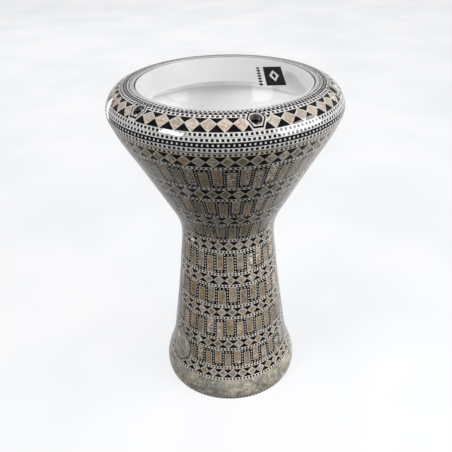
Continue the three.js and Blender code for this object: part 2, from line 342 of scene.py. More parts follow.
def pearl_material(name, families, pale, dark, fleck, glints, grain=1.0):
    """Mother of pearl set in resin: every tile has its own hue, mottling and growth lines, and some have
    painted glints.
    """
    material, tree, shader, place = new_material(name, **LACQUER)
    own, tint = tile_coordinates(tree, place)
    hue, depth, lustre = add(tree, "ShaderNodeSeparateColor", [("Color", tint)]).outputs
    plain = ramp(tree, hue, [(k / (len(families) - 1), colour) for k, colour in enumerate(families)])
    value = ramp(tree, depth, [(0.0, grey(0.62)), (0.5, grey(1)), (1.0, grey(1.25))])
    body = mix(tree, 1.0, plain, value, "MULTIPLY")
    shade = mask(tree, noise(tree, own, 120 * grain, 5, 1.8), off=0.52, on=0.42)
    shaded = mix(tree, times(tree, shade, 0.85), body, dark)
    light = mask(tree, noise(tree, own, 230 * grain, 6, 1.4), off=0.54, on=0.62)
    clouded = mix(tree, times(tree, light, 0.85), shaded, pale)
    grown = add(tree, "ShaderNodeTexWave", [("Vector", own)], bands_direction="DIAGONAL",
                Scale=38 * grain, Distortion=9, Detail=4, Detail_Scale=2.6)
    lines = mask(tree, grown.outputs["Fac"], off=0.62, on=0.86)
    veined = mix(tree, times(tree, lines, depth), clouded, fleck)
    specks = mask(tree, noise(tree, own, 640, 4, 1.5), off=0.50, on=0.62)
    specked = mix(tree, times(tree, specks, 0.45), veined, fleck)
    # Painted glints: pink-white and green-white spots of painted reflection, on the tiles whose lustre
    # passes the glints threshold.
    painted_glint_spots = mask(tree, noise(tree, own, 220, 2, 2.5), off=0.55, on=0.62)
    glint_tiles = ramp(tree, lustre, [(glints, grey(0)), (1.0, grey(0.85))])
    painted_glint_tint = mottle(tree, own, 130, 4, (1.0, 0.80, 0.88), (0.86, 1.0, 0.90), 0.35, 0.65)
    lacquered(tree, shader, place, mix(tree, times(tree, painted_glint_spots, glint_tiles), specked, painted_glint_tint))
    return material


def resin_material(name, colour, shade):
    """Pale filler between the tiles, slightly uneven and speckled from sanding."""
    material, tree, shader, place = new_material(name, **LACQUER)
    own, tint = tile_coordinates(tree, place)
    clouds = mottle(tree, own, 150, 5, colour, shade, 0.3, 0.75)
    specks = mask(tree, noise(tree, place, 1500, 2), off=0.66, on=0.74)
    lacquered(tree, shader, place, mix(tree, specks, clouds, tuple(0.45 * c for c in colour)))
    return material


def black_material():
    """Black inlay, with the faint grain of dyed horn."""
    material, tree, shader, place = new_material("inlay_black", **LACQUER)
    own, tint = tile_coordinates(tree, place)
    grain = mottle(tree, own, 380, 6, (0.004, 0.004, 0.005), (0.018, 0.017, 0.019), 0.45, 0.8)
    lacquered(tree, shader, place, grain)
    return material


def flake_material():
    """Crushed pearl in resin, as on the foot: overlapping flakes, grey, green and beige."""
    material, tree, shader, place = new_material("inlay_flake", **LACQUER)
    push = add(tree, "ShaderNodeTexNoise", [("Vector", place)], Scale=90, Detail=3).outputs["Color"]
    warp = add(tree, "ShaderNodeVectorMath", [(0, push), (2, place)], operation="MULTIPLY_ADD")
    warp.inputs[1].default_value = grey(0.012)
    warped = [("Vector", warp.outputs[0])]
    flakes = add(tree, "ShaderNodeTexVoronoi", warped, Scale=130).outputs["Color"]
    hue, depth, lustre = add(tree, "ShaderNodeSeparateColor", [("Color", flakes)]).outputs
    families = ramp(tree, hue, [
        (0.0, (0.20, 0.19, 0.155)), (0.3, (0.28, 0.26, 0.21)), (0.55, (0.24, 0.24, 0.20)),
        (0.8, (0.34, 0.305, 0.24)), (1.0, (0.40, 0.375, 0.325)),
    ])
    clouds = mottle(tree, place, 120, 7, (0.13, 0.12, 0.10), (0.42, 0.39, 0.33), 0.34, 0.66)
    body = mix(tree, 0.6, families, clouds)
    edges = add(tree, "ShaderNodeTexVoronoi", warped, Scale=130, feature="DISTANCE_TO_EDGE")
    seam = mask(tree, edges.outputs["Distance"], off=0.09, on=0.0)
    cracked = mix(tree, times(tree, seam, depth), body, (0.60, 0.56, 0.48))
    patches = mottle(tree, place, 38, 3, (0.72, 0.74, 0.76), (1.0, 0.98, 0.93), 0.40, 0.60, 0.8)
    patched = mix(tree, 1.0, cracked, patches, "MULTIPLY")
    # Painted glints: a few flakes carry near-white spots of painted reflection.
    near = mask(tree, lustre, off=0.95, on=0.97)
    bright = mask(tree, noise(tree, place, 500), off=0.45, on=0.62)
    lacquered(tree, shader, place, mix(tree, times(tree, near, bright), patched, (0.92, 0.88, 0.84)))
    return material


def paint_material():
    """White enamel inside the shell, brushed on thick, and toned darker on the bearing ring above the lip.
    """
    material, tree, shader, place = new_material(
        "inside_enamel", Roughness=0.34, Specular_IOR_Level=0.25, Coat_Weight=0.2, Coat_Roughness=0.08)
    tone = mottle(tree, place, 22, 3, grey(0.81), grey(0.86))
    height = add(tree, "ShaderNodeSeparateXYZ", [("Vector", place)]).outputs["Z"]
    # The bearing ring above the lip is toned darker than the bowl below it.
    ring = ramp(tree, height, [(0.405, grey(1)), (0.416, grey(0.70))])
    tree.links.new(mix(tree, 1.0, tone, ring, "MULTIPLY"), shader.inputs["Base Color"])
    bump(tree, shader, noise(tree, place, 380, 3), 0.3, 0.0002)
    return material


def cast_material():
    """Bare cast metal, turned at the edges."""
    material, tree, shader, place = new_material("cast_metal", Metallic=1.0)
    tone = mottle(tree, place, 90, 6, (0.27, 0.27, 0.265), (0.40, 0.395, 0.38))
    tree.links.new(tone, shader.inputs["Base Color"])
    uneven_gloss(tree, shader, noise(tree, place, 260), 0.28, 0.5)
    bump(tree, shader, noise(tree, place, 900, 3), 0.3, 0.00012)
    return material


def steel_material(name, dark, light):
    material, tree, shader, place = new_material(name, Metallic=1.0)
    tree.links.new(mottle(tree, place, 300, 6, dark, light, 0.35), shader.inputs["Base Color"])
    uneven_gloss(tree, shader, noise(tree, place, 700, 3), 0.18, 0.36)
    bump(tree, shader, noise(tree, place, 1800, 2), 0.2, 0.00005)
    return material


def film_material():
    """Clear plastic film, a little milky."""
    material, tree, shader, place = new_material(
        "clear_film", Alpha=0.15, IOR=1.6, Coat_Weight=1.0, Coat_Roughness=0.04)
    tone = mottle(tree, place, 14, 2, (0.80, 0.81, 0.81), (0.88, 0.89, 0.89))
    tree.links.new(tone, shader.inputs["Base Color"])
    uneven_gloss(tree, shader, noise(tree, place, 40), 0.05, 0.12)
    return material


def ink_material():
    material, tree, shader, place = new_material("printed_ink", Specular_IOR_Level=0.1)
    tone = mottle(tree, place, 700, 4, grey(0.004), (0.014, 0.014, 0.015), 0.4, 0.8)
    tree.links.new(tone, shader.inputs["Base Color"])
    uneven_gloss(tree, shader, noise(tree, place, 900), 0.6, 0.8)
    return material


PEARL, RESIN, BLACK, DOTS, LINE, FILLER = range(6)
SHELL_HUES = [
    (0.28, 0.22, 0.135), (0.19, 0.18, 0.105), (0.27, 0.24, 0.175), (0.235, 0.165, 0.11),
    (0.17, 0.18, 0.135), (0.23, 0.19, 0.16), (0.21, 0.205, 0.18), (0.31, 0.245, 0.15),
]
COLLAR_HUES = [
    (0.34, 0.305, 0.255), (0.37, 0.35, 0.315), (0.33, 0.275, 0.225), (0.29, 0.285, 0.235),
    (0.40, 0.38, 0.345),
]
shell_palette = [
    pearl_material("shell_pearl", SHELL_HUES, pale=(0.38, 0.335, 0.255), dark=(0.075, 0.06, 0.04),
                   fleck=(0.25, 0.15, 0.08), glints=0.55),
    resin_material("shell_resin", (0.33, 0.30, 0.26), (0.40, 0.37, 0.325)),
    black_material(),
    resin_material("shell_dots", (0.50, 0.465, 0.405), (0.59, 0.555, 0.49)),
    resin_material("shell_line", (0.20, 0.19, 0.17), (0.30, 0.28, 0.25)),
    resin_material("shell_filler", (0.50, 0.41, 0.31), (0.54, 0.48, 0.40)),
]
collar_palette = [
    pearl_material("collar_pearl", COLLAR_HUES, pale=(0.50, 0.475, 0.44), dark=(0.19, 0.17, 0.14),
                   fleck=(0.34, 0.225, 0.145), glints=0.85, grain=1.7),
    resin_material("collar_resin", (0.37, 0.36, 0.345), (0.44, 0.43, 0.415)),
    shell_palette[BLACK],
    resin_material("collar_dots", (0.44, 0.43, 0.42), (0.52, 0.51, 0.50)),
    resin_material("collar_line", (0.20, 0.19, 0.18), (0.29, 0.28, 0.265)),
    resin_material("collar_filler", (0.38, 0.345, 0.30), (0.45, 0.42, 0.37)),
]
flake = flake_material()
enamel = paint_material()
cast_metal = cast_material()
bolt_steel = steel_material("bolt_steel", (0.22, 0.22, 0.23), (0.44, 0.44, 0.45))
plain_steel = steel_material("plain_steel", (0.40, 0.40, 0.40), (0.60, 0.60, 0.59))
hoop_metal = steel_material("hoop_metal", (0.50, 0.50, 0.50), (0.68, 0.68, 0.67))
film = film_material()
ink = ink_material()


# ---- Laying tiles on a turned surface -----------------------------------

def placed(name, data):
    """A new object in the scene."""
    made = bpy.data.objects.new(name, data)
    bpy.context.scene.collection.objects.link(made)
    return made


def wandering():
    return rng.uniform(-UNEVEN, UNEVEN)


def within(points, corners):
    """Which of the points lie inside a polygon."""
    x, y = points[:, 0], points[:, 1]
    inside = np.zeros(len(points), bool)
    for (ax, ay), (bx, by) in zip(corners, corners[1:] + corners[:1]):
        if ay != by:
            inside ^= ((ay > y) != (by > y)) & (x < (bx - ax) * (y - ay) / (by - ay) + ax)
    return inside


def rectangle(left, right, low, high):
    return [(left, low), (right, low), (right, high), (left, high)]


class Mosaic:
    """Tiles laid flat as (distance round, distance up) and then wrapped round the drum. A later
    tile covers an earlier one. Distance round is measured at the middle radius of the band."""

    def __init__(self, name, outline, low, high):
        self.name = name
        self.outline = outline
        self.low, self.high = low, high
        self.radius = outline.at((low + high) / 2)[0]
        self.around = (-math.pi * self.radius, math.pi * self.radius)
        self.tiles = []

    @property
    def circumference(self):
        return 2 * math.pi * self.radius

    @property
    def closed(self):
        """Whether the band runs all the way round."""
        return self.around[1] - self.around[0] > self.circumference - CLOSE

    @property
    def border(self):
        return rectangle(*self.around, self.low, self.high)

    def narrow(self, edge):
        """Keeps a stretch that is just wider than an outline, with nothing laid on it as yet."""
        across = [x for x, y in edge]
        self.around = (min(across) - SPARE, max(across) + SPARE)
        self.lay(self.border, None)

    def lay(self, corners, kind):
        """Lays a tile, twice where it crosses the seam at the back. Kind None cuts a hole."""
        tint = [rng.random() for _ in range(3)]
        self.tiles.append((corners, kind, tint))
        if not self.closed:
            return
        for side in (-1, 1):
            moved = [(x + side * self.circumference, y) for x, y in corners]
            if any(self.around[0] < x < self.around[1] for x, y in moved):
                self.tiles.append((moved, kind, tint))

    def box(self, x, y, wide, high, kind, stray=0.0):
        shape = [(-1, -1), (1, -1), (1, 1), (-1, 1)]
        self.lay([(x + i * wide / 2 + stray * wandering(), y + j * high / 2 + stray * wandering())
                  for i, j in shape], kind)

    def ring(self, low, high, kind):
        """A plain ring between two heights."""
        over = 10 * MM
        corners = rectangle(self.around[0] - over, self.around[1] + over, low, high)
        self.tiles.append((corners, kind, [rng.random() for _ in range(3)]))

    def dots(self, low, high, kind, pitch, size):
        """A row of square dots along the middle of a strip."""
        count = round(self.circumference / pitch)
        start = rng.random()
        for k in range(count):
            x = (k + start) * self.circumference / count - self.circumference / 2
            self.box(x + wandering(), (low + high) / 2, size, size, kind, 1.0)

    def diamonds(self, low, high, count, azimuth, border=DIAMOND_BORDER, stray=1.0, lift=0.0):
        """Pearl rhombi corner to corner, with a black triangle in each notch above and below. Lift
        is how far above the middle of the course the triangles' tips meet."""
        pitch = self.circumference / count
        start = math.radians(azimuth) * self.radius
        middle, half = (low + high) / 2, (high - low) / 2
        slant = math.hypot(pitch / 2, half)
        wide, tall = pitch / 2 - border * slant / half, half - border * slant / (pitch / 2)
        spread, inside = pitch / 2 - BASE_GAP, 0.1 * MM

        def off():
            return stray * wandering()

        for k in range(count):
            x = start + k * pitch
            while x > self.circumference / 2:
                x -= self.circumference
            centre = x + pitch / 2 + off()
            self.lay([(centre - wide, middle + off()), (centre + off(), middle - tall),
                      (centre + wide, middle + off()), (centre + off(), middle + tall)], PEARL)
            for side in (-1, 1):
                base = middle + side * (half - inside)
                tip = middle + lift + side * (TIP_GAP + abs(off()))
                corners = [(x - spread + off(), base), (x + spread + off(), base), (x + off(), tip)]
                self.lay(corners if side < 0 else corners[::-1], BLACK)

    def meander(self, low, high, count, azimuth):
        """Upright pearl bars, threaded by a black strip that bridges one and passes under the next."""
        pitch = self.circumference / count
        start = math.radians(azimuth) * self.radius
        edges = [start + k * pitch + 2 * wandering() for k in range(count)]
        edges.append(edges[0] + self.circumference)
        half = BAR_STRIP / 2
        for k in range(count):
            left, right = edges[k], edges[k + 1]
            back = round((left + right) / 2 / self.circumference) * self.circumference
            left, right = left - back, right - back
            over = k % 2 == 0
            y = high - half if over else low + half
            inset = half + BAR_BORDER
            top = high - (BAR_STRIP + BAR_BORDER if over else BAR_BORDER) + 2 * wandering()
            foot = low + (BAR_BORDER if over else BAR_STRIP + BAR_BORDER) + 2 * wandering()
            lean = 3 * wandering()
            west, east = left + inset, right - inset
            self.lay([(west + wandering() + lean, foot), (east + wandering() + lean, foot),
                      (east + wandering(), top), (west + wandering(), top)], PEARL)
            self.box((left + right) / 2, y, right - left, BAR_STRIP, BLACK)
            self.box(left, (low + high) / 2, BAR_STRIP, high - low, BLACK)
            rows = round((high - low) / BAR_DOT_PITCH)
            for row in range(rows):
                x, up = left + wandering(), low + (row + 0.5) * (high - low) / rows
                self.box(x, up, BAR_DOT, BAR_DOT, DOTS, 0.8)
            across = max(1, round((right - left - BAR_STRIP) / BAR_DOT_PITCH))
            for column in range(across):
                x = left + half + (column + 0.5) * (right - left - BAR_STRIP) / across
                self.box(x, y + wandering(), BAR_DOT, BAR_DOT, DOTS, 0.8)

    def triangles(self):
        """Cuts the band into triangles that keep to the tiles' edges: points, faces, kinds, tints."""
        left, right = self.around
        points, sides = [], []

        def draw(corners):
            first = len(points)
            for here, there in zip(corners, corners[1:] + corners[:1]):
                parts = max(1, math.ceil(math.dist(here, there) / STEP))
                points.extend(Vector(here).lerp(Vector(there), k / parts) for k in range(parts))
            last = len(points) - 1
            sides.extend(zip(range(first, last), range(first + 1, last + 1)))
            sides.append((last, first))

        draw(self.border)
        for corners, kind, tint in self.tiles:
            draw(corners)
        rows = max(2, round((self.high - self.low) / STEP))
        columns = round((right - left) / STEP)
        for row in range(1, rows):
            for column in range(1, columns):
                x = left + (column + 0.5 * (row % 2)) * (right - left) / columns
                points.append(Vector((x, self.low + row * (self.high - self.low) / rows)))
        flat, edges, faces = delaunay_2d_cdt(points, sides, [], 0, 1e-7, True)[:3]
        flat = np.array([tuple(p) for p in flat])
        faces = np.array(faces)
        faces = faces[np.argsort(flat[faces, 0].mean(axis=1))]
        centres = flat[faces].mean(axis=1)
        owner = np.zeros(len(faces), int)
        for index, (corners, kind, tint) in enumerate(self.tiles, 1):
            across = [x for x, y in corners]
            first, last = np.searchsorted(centres[:, 0], (min(across), max(across)))
            owner[first:last][within(centres[first:last], corners)] = index
        laid = [(None, RESIN, [rng.random() for _ in range(3)])] + self.tiles
        inner = np.flatnonzero(within(centres, self.border))
        kept = [k for k in inner if laid[owner[k]][1] is not None]
        faces = [list(map(int, faces[k])) for k in kept]
        return flat, faces, [laid[owner[k]][1] for k in kept], [laid[owner[k]][2] for k in kept]

    def build(self, palette, node, body, slot):
        """Wraps the laid band round the drum as one closed sheet that stands for a CAD ring."""
        flat, faces, kinds, tints = self.triangles()
        same = np.arange(len(flat))
        if self.closed:
            starts, ends = (np.flatnonzero(abs(flat[:, 0] - side) < CLOSE) for side in self.around)
            for end in ends:
                same[end] = starts[np.argmin(abs(flat[starts, 1] - flat[end, 1]))]
        faces = [[int(same[i]) for i in face] for face in faces]
        used = sorted({i for face in faces for i in face})
        place = {old: new for new, old in enumerate(used)}
        faces = [[place[i] for i in face] for face in faces]
        flat = flat[used]
        angle = flat[:, 0] / self.radius

        def wrapped(rz):
            return np.stack([rz[:, 0] * np.sin(angle), -rz[:, 0] * np.cos(angle), rz[:, 1]], -1)

        front = wrapped(self.outline.at(flat[:, 1]))
        normals = wrapped(self.outline.normal(flat[:, 1]))
        piece = veneer_sheet(self.name, front, normals, faces, kinds, tints, palette)
        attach(piece, body)
        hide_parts(node)
        return piece


def veneer_sheet(name, front, normals, faces, kinds, tints, palette):
    """A closed sheet of veneer: the laid front, the same behind it, and walls along its edges."""
    a, b, c = faces[0]
    if np.dot(np.cross(front[b] - front[a], front[c] - front[a]), normals[a]) < 0:
        faces = [face[::-1] for face in faces]
    count = len(front)
    sides = {}
    for index, face in enumerate(faces):
        for a, b in zip(face, face[1:] + face[:1]):
            sides[a, b] = index
    edges = [(a, b, index) for (a, b), index in sides.items() if (b, a) not in sides]
    behind = [[i + count for i in face[::-1]] for face in faces]
    walls = [(b, a, a + count, b + count) for a, b, index in edges]
    mesh = bpy.data.meshes.new(name)
    points = np.concatenate([front, front - INLAY * normals]).tolist()
    mesh.from_pydata(points, [], faces + behind + walls)
    for material in palette:
        mesh.materials.append(material)
    mesh.polygons.foreach_set("material_index", kinds + kinds + [kinds[index] for a, b, index in edges])
    tile = mesh.attributes.new("tile", "FLOAT_COLOR", "FACE")
    colours = tints + tints + [tints[index] for a, b, index in edges]
    tile.data.foreach_set("color", [value for tint in colours for value in (*tint, 1.0)])
    mesh.shade_smooth()
    both = np.concatenate([normals, -normals])
    corners = np.empty(len(mesh.loops), int)
    mesh.loops.foreach_get("vertex_index", corners)
    shading = both[corners]
    for polygon in mesh.polygons[2 * len(faces):]:
        shading[list(polygon.loop_indices)] = polygon.normal
    mesh.normals_split_custom_set(shading.tolist())
    return placed(name, mesh)


# ---- Turned pieces ------------------------------------------------------

def turned(name, outline, materials, pick=lambda r, z: 0, rounds=ROUND):
    """A lathe piece from an anticlockwise outline of radii and heights. A closed outline makes a
    ring, and one that starts and ends on the axis makes a solid. Pick chooses each face's material."""
    outline = [tuple(p) for p in outline]
    on_axis = outline[0][0] < CLOSE
    work = bmesh.new()
    angles = [2 * math.pi * k / rounds for k in range(rounds)]
    rings = []
    for r, z in outline:
        if r < CLOSE:
            rings.append([work.verts.new((0, 0, z))] * rounds)
        else:
            rings.append([work.verts.new((r * math.sin(a), -r * math.cos(a), z)) for a in angles])
    pairs = list(zip(range(len(outline)), range(1, len(outline))))
    if not on_axis:
        pairs.append((len(outline) - 1, 0))
    for a, b in pairs:
        kind = pick(*np.mean([outline[a], outline[b]], axis=0))
        for k in range(rounds):
            j = (k + 1) % rounds
            corners = [rings[a][k], rings[a][j], rings[b][j], rings[b][k]]
            corners = [v for i, v in enumerate(corners) if v not in corners[:i]]
            work.faces.new(corners).material_index = kind
    return finished(name, work, materials)


def finished(name, work, materials, smooth_angle=40):
    """Turns a bmesh into a shaded object with sharp edges where it bends hard."""
    mesh = bpy.data.meshes.new(name)
    work.to_mesh(mesh)
    work.free()
    for material in materials:
        mesh.materials.append(material)
    piece = placed(name, mesh)
    smooth(piece, smooth_angle)
    return piece


def smooth(piece, angle):
    piece.data.shade_smooth()
    work = bmesh.new()
    work.from_mesh(piece.data)
    for edge in work.edges:
        edge.smooth = len(edge.link_faces) == 2 and edge.calc_face_angle(0) < math.radians(angle)
    work.to_mesh(piece.data)
    work.free()


def cut(piece, cutters, operation):
    """Joins every cutter to the piece, or cuts it out, and removes the cutters."""
    for cutter in cutters:
        tool = piece.modifiers.new("cut", "BOOLEAN")
        tool.operation = operation
        tool.solver = "EXACT"
        tool.object = cutter
    deps = bpy.context.evaluated_depsgraph_get()
    made = bpy.data.meshes.new_from_object(piece.evaluated_get(deps))
    piece.modifiers.clear()
    piece.data = made
    for cutter in cutters:
        bpy.data.objects.remove(cutter)
    smooth(piece, 35)


def upright_bar(name, x, y, radius, low, high, sides=64):
    work = bmesh.new()
    place = Matrix.Translation((x, y, (low + high) / 2))
    bmesh.ops.create_cone(work, cap_ends=True, segments=sides, radius1=radius, radius2=radius,
                          depth=high - low, matrix=place)
    return finished(name, work, [])


def soften(points, radius, steps):
    """Rounds the corners of a closed outline with a small curve."""
    made = []
    count = len(points)
    for k in range(count):
        before, here, after = (np.array(points[(k + j) % count]) for j in (-1, 0, 1))
        reach = [min(radius, np.linalg.norm(q - here) * 0.45) for q in (before, after)]
        start = here + (before - here) / max(np.linalg.norm(before - here), 1e-9) * reach[0]
        end = here + (after - here) / max(np.linalg.norm(after - here), 1e-9) * reach[1]
        for t in np.linspace(0, 1, steps):
            made.append(tuple((1 - t)**2 * start + 2 * t * (1 - t) * here + t**2 * end))
    return made


# ---- Outlines from the frame --------------------------------------------

shell_rings = ["foot_stringing", "foot_pearl_band", "diamond_course_8"]
for k in range(7, 0, -1):
    shell_rings += [f"meander_course_{k}", f"diamond_course_{k}"]
shell_chains = {node: outer_chain(node) for node in shell_rings}
shell_outline = Outline(joined(list(shell_chains.values())))

collar_rings = ["collar_outer_stringing", "collar_diamond_course", "collar_inner_stringing"]
collar_chains = {node: outer_chain(node) for node in collar_rings}
collar_outline = Outline(joined(list(collar_chains.values())))

bolt_boxes = [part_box(f"tuning_bolt_{k + 1}") for k in range(BOLTS)]
bolt_axes = [((low.x + high.x) / 2, (low.y + high.y) / 2) for low, high in bolt_boxes]


# ---- The inlaid shell ---------------------------------------------------

def bezier(a, b, c, d, count=14):
    """Points on a curve from a towards d, without d."""
    a, b, c, d = (np.array(p) for p in (a, b, c, d))
    return [tuple((1 - t)**3 * a + 3 * t * (1 - t)**2 * b + 3 * t**2 * (1 - t) * c + t**3 * d)
            for t in np.arange(count) / count]


class Medallion:
    """The drop-shaped plaque near the foot: a round bottom that draws in to a point on top."""

    def __init__(self):
        low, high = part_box("medallion")
        middle = (low + high) / 2
        self.azimuth = math.atan2(middle.x, -middle.y)
        self.half = max(map(abs, sideways("medallion", self.azimuth)))
        self.low, self.high = low.z, high.z

    def outline(self, inset):
        half, tip = self.half - inset, self.high - 1.6 * inset
        centre = self.low + self.half
        round_foot = [(half * math.cos(a), centre + half * math.sin(a))
                      for a in np.linspace(-math.pi, 0, 30, endpoint=False)]
        waist, neck = centre + 0.55 * half, tip - 0.3 * half
        right = bezier((half, centre), (half, waist), (0.35 * half, neck), (0, tip))
        left = bezier((0, tip), (-0.35 * half, neck), (-half, waist), (-half, centre))
        return round_foot + right + left

    def on(self, mosaic, inset=0.0):
        """The outline in a band's own measure."""
        shape = []
        for x, z in self.outline(inset):
            s = float(shell_outline.at_height(z))
            turn = self.azimuth + math.asin(x / shell_outline.at(s)[0])
            shape.append((turn * mosaic.radius, s))
        return shape

    def cut_out_of(self, course, node):
        if node in ("diamond_course_8", "meander_course_7", "diamond_course_7"):
            course.lay(self.on(course), None)


def shell_course(node):
    low, high = span(shell_outline, shell_chains[node])
    return Mosaic(node.replace("course", "inlay"), shell_outline, low, high)


def dotted_strip(mosaic, low, high, pitch, ground=DOTS, dot=BLACK, size=DOT):
    """A string of square dots between two hairlines."""
    mosaic.ring(low, high, LINE)
    mosaic.ring(low + HAIRLINE, high - HAIRLINE, ground)
    mosaic.dots(low, high, dot, pitch, size)


medallion = Medallion()

for number, (count, azimuth) in enumerate(DIAMOND_ROWS, 1):
    node = f"diamond_course_{number}"
    course = shell_course(node)
    pitch = BOWL_DOT_PITCH if number < 3 else DOT_PITCH
    top = course.high - STRIP
    course.diamonds(course.low + STRIP, top, count, azimuth)
    dotted_strip(course, course.low, course.low + STRIP, pitch)
    if number == 1:  # bedding for the strip under the collar
        course.ring(top, course.high, FILLER)
    dotted_strip(course, top, top + STRIP, pitch, FILLER if number == 1 else DOTS)
    medallion.cut_out_of(course, node)
    course.build(shell_palette, node, "shell", "shell_inlay")

for number, (count, azimuth) in enumerate(MEANDER_ROWS, 1):
    node = f"meander_course_{number}"
    course = shell_course(node)
    course.meander(course.low, course.high, count, azimuth)
    medallion.cut_out_of(course, node)
    course.build(shell_palette, node, "shell", "meander_inlay")

flake_palette = [flake, shell_palette[RESIN], shell_palette[BLACK], shell_palette[DOTS], flake, flake]
foot_band = shell_course("foot_pearl_band")
foot_band.ring(foot_band.low, foot_band.high, PEARL)
foot_band.build(flake_palette, "foot_pearl_band", "shell", "pearl").name = "foot_pearl_inlay"

foot_string = shell_course("foot_stringing")
foot_string.ring(foot_string.low, foot_string.high, DOTS)
foot_string.dots(foot_string.low, foot_string.high, BLACK, FOOT_DOT_PITCH, FOOT_DOT)
foot_string.build(shell_palette, "foot_stringing", "shell", "shell_inlay").name = "foot_string_inlay"


def medallion_plaque():
    """Plain flaked pearl inside a black line."""
    low, high = shell_outline.at_height([medallion.low, medallion.high])
    plaque = Mosaic("medallion_inlay", shell_outline, low - SPARE, high + SPARE)
    edge = medallion.on(plaque)
    plaque.narrow(edge)
    plaque.lay(edge, RESIN)
    plaque.lay(medallion.on(plaque, MEDALLION_EDGE), BLACK)
    plaque.lay(medallion.on(plaque, MEDALLION_EDGE + MEDALLION_LINE), PEARL)
    plaque.build(flake_palette, "medallion", "shell", "pearl")


medallion_plaque()


# ---- The inlaid collar --------------------------------------------------

def collar_course(node):
    low, high = span(collar_outline, collar_chains[node])
    name = node.replace("stringing", "strings").replace("course", "inlay")
    return Mosaic(name, collar_outline, low, high)


def in_plan(mosaic, number, outline):
    """An outline drawn on the flat round a bolt, laid on the collar in a band's own measure."""
    x, y = bolt_axes[number]
    azimuth, reach = math.atan2(x, -y), math.hypot(x, y)
    shape = []
    for across, out in outline:
        turn = azimuth + math.atan2(across, reach + out)
        radius = math.hypot(across, reach + out)
        shape.append((turn * mosaic.radius, float(collar_outline.at_radius(radius))))
    return shape


def circle(radius, count=48):
    turns = [2 * math.pi * k / count for k in range(count)]
    return [(radius * math.cos(a), radius * math.sin(a)) for a in turns]


def hexagon(radius, parts=8):
    """Six sides with corners to the left and right, cut into short lengths."""
    corners = [np.array(corner) for corner in circle(radius, 6)]
    sides = zip(corners, corners[1:] + corners[:1])
    return [tuple(a + (b - a) * k / parts) for a, b in sides for k in range(parts)]


def strings(course, count, pitch, edged):
    """Dotted strips side by side, all dark on pale but for the second one, which is pale on dark
    and has hairlines only where it is edged."""
    step = (course.high - course.low) / count
    for row in range(count):
        low = course.low + row * step
        if row != 1:
            dotted_strip(course, low, low + step, pitch, DOTS, BLACK, COLLAR_DOT)
        elif edged:
            dotted_strip(course, low, low + step, pitch, BLACK, DOTS, COLLAR_PALE_DOT)
        else:
            course.ring(low, low + step, BLACK)
            course.dots(low, low + step, DOTS, pitch, COLLAR_PALE_DOT)


spread = sideways("bolt_bezel_1", math.atan2(bolt_axes[0][0], -bolt_axes[0][1]))
BEZEL = (max(spread) - min(spread)) / 2

diamond_ring = collar_course("collar_diamond_course")
diamond_ring.ring(diamond_ring.low, diamond_ring.high, FILLER)
diamond_ring.diamonds(diamond_ring.low, diamond_ring.high, *COLLAR_DIAMONDS, border=COLLAR_BORDER,
                      stray=2.5, lift=1 * MM)
inner_ring = collar_course("collar_inner_stringing")
strings(inner_ring, COLLAR_STRIPS_INSIDE, COLLAR_INNER_PITCH, edged=True)
for number in range(BOLTS):
    diamond_ring.lay(in_plan(diamond_ring, number, hexagon(BEZEL + BEZEL_MARGIN)), RESIN)
    for ring in (diamond_ring, inner_ring):
        ring.lay(in_plan(ring, number, hexagon(BEZEL)), None)
diamond_ring.build(collar_palette, "collar_diamond_course", "collar", "collar_inlay")
inner_ring.build(collar_palette, "collar_inner_stringing", "collar", "collar_inlay")

outer_ring = collar_course("collar_outer_stringing")
strings(outer_ring, COLLAR_STRIPS_OUTSIDE, COLLAR_DOT_PITCH, edged=False)
outer_ring.build(collar_palette, "collar_outer_stringing", "collar", "collar_inlay")

for number in range(BOLTS):
    reach = math.hypot(*bolt_axes[number])
    low, high = (float(collar_outline.at_radius(r)) for r in (reach + BEZEL, reach - BEZEL))
    bezel = Mosaic(f"bezel_{number + 1}", collar_outline, low, high)
    edge = in_plan(bezel, number, hexagon(BEZEL))
    bezel.narrow(edge)
    bezel.lay(edge, BLACK)
    bezel.lay(in_plan(bezel, number, hexagon(BEZEL - BEZEL_LINE)), RESIN)
    bezel.lay(in_plan(bezel, number, circle(RECESS)), None)
    bezel.build(collar_palette, f"bolt_bezel_{number + 1}", "collar", "bezel_inlay")


# ---- Castings, head and bolts -------------------------------------------

def smooth_section(node, corner=38, short=3 * MM, spacing=4 * MM):
    """A CAD section with its faceted stretches turned into curves and its true corners kept: where
    it bends by more than corner degrees, and either end of a short side."""
    loop = section(node)
    count = len(loop)
    ahead = np.roll(loop, -1, axis=0) - loop
    heading = np.arctan2(ahead[:, 1], ahead[:, 0])
    bend = np.degrees(abs((heading - np.roll(heading, 1) + math.pi) % (2 * math.pi) - math.pi))
    lengths = np.hypot(*ahead.T)
    corners = [k for k in range(count) if bend[k] > corner or min(lengths[k], lengths[k - 1]) < short]
    made = []
    for here, there in zip(corners, corners[1:] + [corners[0] + count]):
        run = np.array([loop[k % count] for k in range(here, there + 1)])
        if len(run) == 2:
            made.append(tuple(run[0]))
            continue
        curve = Outline(run)
        marks = np.linspace(0, curve.length, max(2, round(curve.length / spacing)))
        made += [tuple(p) for p in curve.at(marks)[:-1]]
    return made


def anticlockwise(points):
    area = sum(a[0] * b[1] - b[0] * a[1] for a, b in zip(points, points[1:] + points[:1]))
    return points if area > 0 else points[::-1]


def shell_casting():
    """The cast goblet, painted white inside."""
    outline = anticlockwise(soften(smooth_section("shell_casting"), 0.5 * MM, 3))
    skin = shell_outline.at(np.linspace(0, shell_outline.length, SAMPLES))
    wall, bare_foot = 4 * MM, 1 * MM

    def inside(r, z):
        return int(r < np.interp(z, skin[:, 1], skin[:, 0]) - wall and z > bare_foot)

    return turned("shell_body", outline, [cast_metal, enamel], inside)


shell_body = shell_casting()
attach(shell_body, "shell")
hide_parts("shell_casting")


